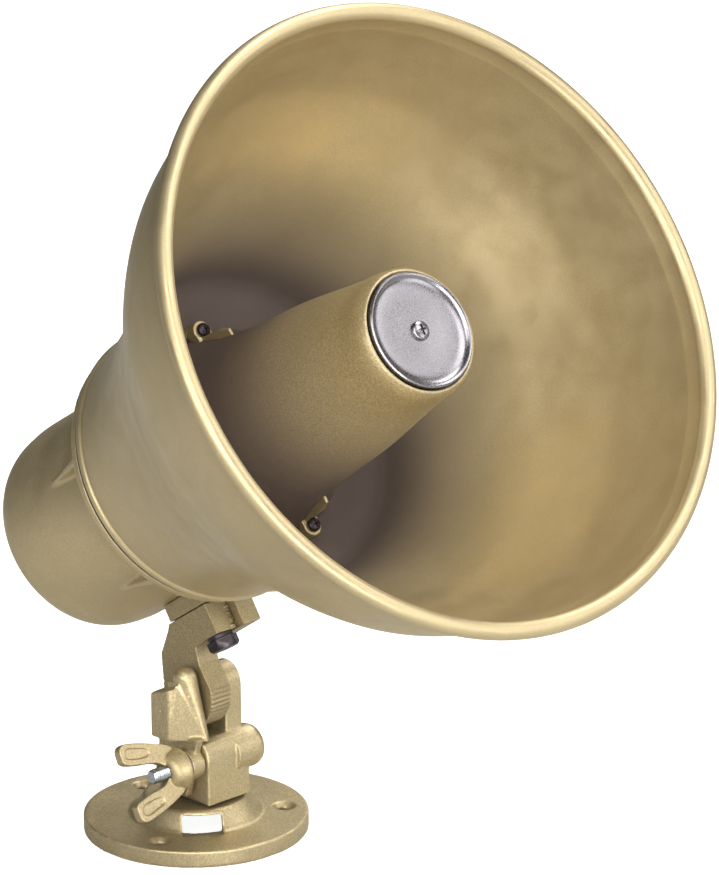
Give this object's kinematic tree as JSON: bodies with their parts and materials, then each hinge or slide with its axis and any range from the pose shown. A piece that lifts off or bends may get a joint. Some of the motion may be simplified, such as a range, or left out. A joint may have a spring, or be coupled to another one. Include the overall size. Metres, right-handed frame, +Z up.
{
  "type": "horn loudspeaker",
  "caption": "Round re-entrant horn loudspeaker with a flared bell, rear driver cover and a swivel base locked by a wing nut.",
  "frame": {"origin": "on the pan axis, in the plane of the base's underside", "axes": "+Z up along the pan axis; the horn's mouth faces -Y, tilted up by 34 degrees at rest; X is along the tilt hinge and the clamp bolt, with the wing nut on the -X side"},
  "size_m": [0.2578, 0.302, 0.3556],
  "materials": {
    "bell_paint": "textured baked enamel in a light mocha gold over aluminium",
    "cone_paint": "textured enamel in the same light mocha gold over moulded plastic",
    "cover_paint": "textured enamel over a die-cast aluminium cover",
    "bracket_paint": "textured enamel over cast metal, worn brighter along the edges",
    "badge_metal": "turned and polished disc",
    "zinc_steel": "bright zinc plate",
    "black_steel": "black oxide",
    "rubber": "matte black",
    "moulded_plastic": "moulded, matte",
    "ferrite": "sintered ferrite, dull",
    "copper": "enamelled copper wire",
    "phenolic": "pressed phenolic cloth"
  },
  "bodies": {
    "base": {"base_flange": "bracket_paint", "swivel_post": "zinc_steel"},
    "clamp": {"clamp_block": "bracket_paint", "clamp_jaw": "bracket_paint", "hinge_pin": "black_steel", "clamp_bolt": "zinc_steel", "clamp_washer": "zinc_steel"},
    "wing": {"wing_nut": "bracket_paint"},
    "horn": {"tilt_arm": "bracket_paint", "horn_foot": "bracket_paint", "foot_bolt": "black_steel", "foot_washer": "black_steel", "bell_horn": "bell_paint", "reentrant_cone": "cone_paint", "badge_disc": "badge_metal", "badge_screw": "badge_metal", "lug_screw_top": "black_steel", "lug_screw_bottom": "black_steel", "throat_tube": "moulded_plastic", "throat_gasket": "rubber", "driver_cap": "moulded_plastic", "phase_plug": "moulded_plastic", "top_plate": "zinc_steel", "spacer_ring": "moulded_plastic", "magnet": "ferrite", "yoke": "zinc_steel", "driver_screw_1": "zinc_steel", "driver_screw_2": "zinc_steel", "driver_screw_3": "zinc_steel", "seam_gasket": "rubber", "rear_cover": "cover_paint", "cover_screw_1": "zinc_steel", "cover_screw_2": "zinc_steel", "cover_screw_3": "zinc_steel", "cover_screw_4": "zinc_steel", "cable_grommet": "rubber", "transformer_bracket": "zinc_steel", "line_transformer_core": "black_steel", "line_transformer_coil": "copper", "terminal_block": "moulded_plastic"},
    "moving_coil": {"diaphragm": "phenolic", "voice_coil": "copper"}
  },
  "joints": [
    {"name": "pan", "type": "hinge", "parent": "base", "child": "clamp", "pos_m": [0, 0, 0.02], "axis": [0, 0, 1], "continuous": true},
    {"name": "tilt", "type": "hinge", "parent": "clamp", "child": "horn", "pos_m": [0, -0.0019, 0.0585], "axis": [1, 0, 0], "range_deg": [-55, 34]},
    {"name": "wing_nut_turn", "type": "hinge", "parent": "clamp", "child": "wing", "pos_m": [-0.024, -0.011, 0.033], "axis": [1, 0, 0], "continuous": true},
    {"name": "diaphragm_travel", "type": "slide", "parent": "horn", "child": "moving_coil", "axis": [0, -0.8257, 0.5641], "range_m": [-0.0003, 0.0003], "stiffness_N_per_m": 1500}
  ]
}
